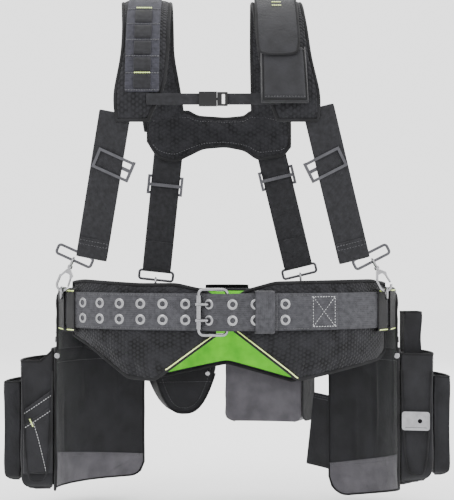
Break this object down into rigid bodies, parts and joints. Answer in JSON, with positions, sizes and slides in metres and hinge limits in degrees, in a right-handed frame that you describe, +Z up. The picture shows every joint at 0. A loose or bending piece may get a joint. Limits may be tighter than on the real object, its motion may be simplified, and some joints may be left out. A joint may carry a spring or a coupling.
{
  "type": "tool belt",
  "caption": "Padded carpenter's tool belt with roller buckle, eyelet webbing, shoulder suspenders, chest strap and hanging pouches that swing.",
  "frame": {"origin": "centre of the waist opening at the belt's mid height", "axes": "-Y is the front with the buckle, +Z is up, +X is the wearer's left"},
  "size_m": [0.652, 0.3509, 0.7496],
  "materials": {
    "belt_webbing": "ribbed webbing",
    "strap_webbing": "woven webbing",
    "pad_mesh": "honeycomb mesh",
    "pouch_fabric": "coated cloth",
    "grey_fabric": "coated cloth",
    "green_lining": "satin",
    "bright_steel": "nickel plated",
    "dark_steel": "gunmetal",
    "black_plastic": "moulded"
  },
  "bodies": {
    "harness": {"waist_belt": "belt_webbing", "belt_fold": "belt_webbing", "belt_eyelets": "bright_steel", "back_pad": "pad_mesh", "pad_lining": "green_lining", "front_pad_left": "pad_mesh", "front_pad_right": "pad_mesh", "belt_tunnels": "strap_webbing", "d_rings": "bright_steel", "hip_panel_left": "pouch_fabric", "hip_panel_right": "pouch_fabric", "rear_hangers": "strap_webbing", "yoke_pad": "pad_mesh", "shoulder_pad_left": "pad_mesh", "shoulder_pad_right": "pad_mesh", "ladder_panel": "strap_webbing", "tool_loops": "strap_webbing", "phone_pocket": "pouch_fabric", "chest_strap_left": "strap_webbing", "chest_socket": "black_plastic", "front_left_strap": "strap_webbing", "front_right_strap": "strap_webbing", "rear_left_strap": "strap_webbing", "rear_right_strap": "strap_webbing", "strap_end_loops": "dark_steel", "hook_eyes": "bright_steel", "buckle_frame": "bright_steel", "pouch_rivets": "bright_steel"},
    "roller": {"buckle_roller": "bright_steel"},
    "tongue_upper": {"buckle_tongue_upper": "bright_steel"},
    "tongue_lower": {"buckle_tongue_lower": "bright_steel"},
    "keeper": {"belt_keeper": "belt_webbing"},
    "chest_plug": {"chest_plug": "black_plastic", "chest_strap_right": "strap_webbing"},
    "prong_upper": {"chest_prong_upper": "black_plastic"},
    "prong_lower": {"chest_prong_lower": "black_plastic"},
    "front_left_hook": {"front_left_hook": "bright_steel"},
    "front_left_gate": {"front_left_gate": "bright_steel"},
    "front_left_adjuster": {"front_left_adjuster": "dark_steel"},
    "front_right_hook": {"front_right_hook": "bright_steel"},
    "front_right_gate": {"front_right_gate": "bright_steel"},
    "front_right_adjuster": {"front_right_adjuster": "dark_steel"},
    "rear_left_hook": {"rear_left_hook": "bright_steel"},
    "rear_left_gate": {"rear_left_gate": "bright_steel"},
    "rear_left_adjuster": {"rear_left_adjuster": "dark_steel"},
    "rear_right_hook": {"rear_right_hook": "bright_steel"},
    "rear_right_gate": {"rear_right_gate": "bright_steel"},
    "rear_right_adjuster": {"rear_right_adjuster": "dark_steel"},
    "phone_flap": {"phone_flap": "pouch_fabric"},
    "left_pouch": {"left_pouch_back": "pouch_fabric", "left_pouch_bag": "pouch_fabric", "left_outer_pocket": "pouch_fabric", "left_end_pockets": "pouch_fabric"},
    "right_pouch": {"right_pouch_back": "pouch_fabric", "right_pouch_bag": "pouch_fabric", "right_outer_pocket": "pouch_fabric", "right_sleeve_pocket": "pouch_fabric", "tape_clip": "bright_steel"},
    "round_pouch": {"rear_round_pouch": "pouch_fabric"},
    "grey_pouch": {"rear_grey_pouch": "grey_fabric"}
  },
  "joints": [
    {"name": "roller_spin", "type": "hinge", "parent": "harness", "child": "roller", "pos_m": [-0.0384, -0.1473, 0], "axis": [0, 0, 1], "continuous": true},
    {"name": "tongue_upper_pivot", "type": "hinge", "parent": "harness", "child": "tongue_upper", "pos_m": [0, -0.1473, 0], "axis": [0, 0, 1], "range_deg": [0, 4]},
    {"name": "tongue_lower_pivot", "type": "hinge", "parent": "harness", "child": "tongue_lower", "pos_m": [0, -0.1473, 0], "axis": [0, 0, 1], "range_deg": [0, 4]},
    {"name": "keeper_slide", "type": "slide", "parent": "harness", "child": "keeper", "axis": [0.9924, 0.1231, 0], "range_m": [-0.006, 0.006]},
    {"name": "chest_release", "type": "slide", "parent": "harness", "child": "chest_plug", "axis": [1, 0, 0], "range_m": [0, 0.025]},
    {"name": "prong_upper_squeeze", "type": "hinge", "parent": "chest_plug", "child": "prong_upper", "pos_m": [-0.0142, -0.1172, 0.2994], "axis": [0, -1, 0], "range_deg": [0, 5], "stiffness_Nm_per_rad": 0.05},
    {"name": "prong_lower_squeeze", "type": "hinge", "parent": "chest_plug", "child": "prong_lower", "pos_m": [-0.0142, -0.1172, 0.2886], "axis": [0, 1, 0], "range_deg": [0, 5], "stiffness_Nm_per_rad": 0.05},
    {"name": "front_left_hook_swivel", "type": "hinge", "parent": "harness", "child": "front_left_hook", "pos_m": [-0.23451, -0.05746, 0.03547], "axis": [0.3911, -0.1203, 0.9125], "range_deg": [-15, 7]},
    {"name": "front_left_gate_open", "type": "hinge", "parent": "front_left_hook", "child": "front_left_gate", "pos_m": [-0.22249, -0.05926, 0.04652], "axis": [0.0474, 0.9927, 0.1106], "range_deg": [0, 18], "stiffness_Nm_per_rad": 0.01, "springref_deg": -17.19},
    {"name": "front_left_adjust", "type": "slide", "parent": "harness", "child": "front_left_adjuster", "axis": [0.4022, -0.2136, 0.8903], "range_m": [-0.08, 0.02]},
    {"name": "front_right_hook_swivel", "type": "hinge", "parent": "harness", "child": "front_right_hook", "pos_m": [0.22426, -0.07353, 0.03533], "axis": [-0.4587, -0.1396, 0.8775], "range_deg": [-15, 15]},
    {"name": "front_right_gate_open", "type": "hinge", "parent": "front_right_hook", "child": "front_right_gate", "pos_m": [0.22331, -0.07562, 0.0516], "axis": [-0.0647, 0.9902, 0.1237], "range_deg": [0, 18], "stiffness_Nm_per_rad": 0.01, "springref_deg": -17.19},
    {"name": "front_right_adjust", "type": "slide", "parent": "harness", "child": "front_right_adjuster", "axis": [-0.4511, -0.1292, 0.8831], "range_m": [-0.08, 0.02]},
    {"name": "rear_left_hook_swivel", "type": "hinge", "parent": "harness", "child": "rear_left_hook", "pos_m": [-0.11381, 0.14077, -0.00021], "axis": [0.0503, -0.0604, 0.9969], "range_deg": [-15, 15]},
    {"name": "rear_left_gate_open", "type": "hinge", "parent": "rear_left_hook", "child": "rear_left_gate", "pos_m": [-0.11975, 0.13986, 0.01508], "axis": [-0.003, -0.9982, -0.0603], "range_deg": [0, 18], "stiffness_Nm_per_rad": 0.01, "springref_deg": -17.19},
    {"name": "rear_left_adjust", "type": "slide", "parent": "harness", "child": "rear_left_adjuster", "axis": [0.1039, -0.096, 0.9899], "range_m": [-0.08, 0.0032]},
    {"name": "rear_right_hook_swivel", "type": "hinge", "parent": "harness", "child": "rear_right_hook", "pos_m": [0.11773, 0.14077, 0.00678], "axis": [-0.0704, -0.0603, 0.9957], "range_deg": [-15, 15]},
    {"name": "rear_right_gate_open", "type": "hinge", "parent": "rear_right_hook", "child": "rear_right_gate", "pos_m": [0.10999, 0.13987, 0.02125], "axis": [0.0043, -0.9982, -0.0602], "range_deg": [0, 18], "stiffness_Nm_per_rad": 0.01, "springref_deg": -17.19},
    {"name": "rear_right_adjust", "type": "slide", "parent": "harness", "child": "rear_right_adjuster", "axis": [-0.2351, -0.0976, 0.9671], "range_m": [-0.08, 0]},
    {"name": "flap_open", "type": "hinge", "parent": "harness", "child": "phone_flap", "pos_m": [0.069, -0.006, 0.4546], "axis": [-1, 0, 0], "range_deg": [0, 110]},
    {"name": "left_pouch_swing", "type": "hinge", "parent": "harness", "child": "left_pouch", "pos_m": [-0.23204, 0.06182, -0.055], "axis": [0.5969, 0.8023, 0], "range_deg": [0, 12]},
    {"name": "right_pouch_swing", "type": "hinge", "parent": "harness", "child": "right_pouch", "pos_m": [0.23868, 0.05199, -0.055], "axis": [0.5196, -0.8544, 0], "range_deg": [0, 12]},
    {"name": "round_pouch_swing", "type": "hinge", "parent": "harness", "child": "round_pouch", "pos_m": [-0.06522, 0.14489, -0.057], "axis": [0.9875, 0.1575, 0], "range_deg": [0, 20]},
    {"name": "grey_pouch_swing", "type": "hinge", "parent": "harness", "child": "grey_pouch", "pos_m": [0.05669, 0.14616, -0.057], "axis": [0.9907, -0.1361, 0], "range_deg": [0, 20]}
  ]
}
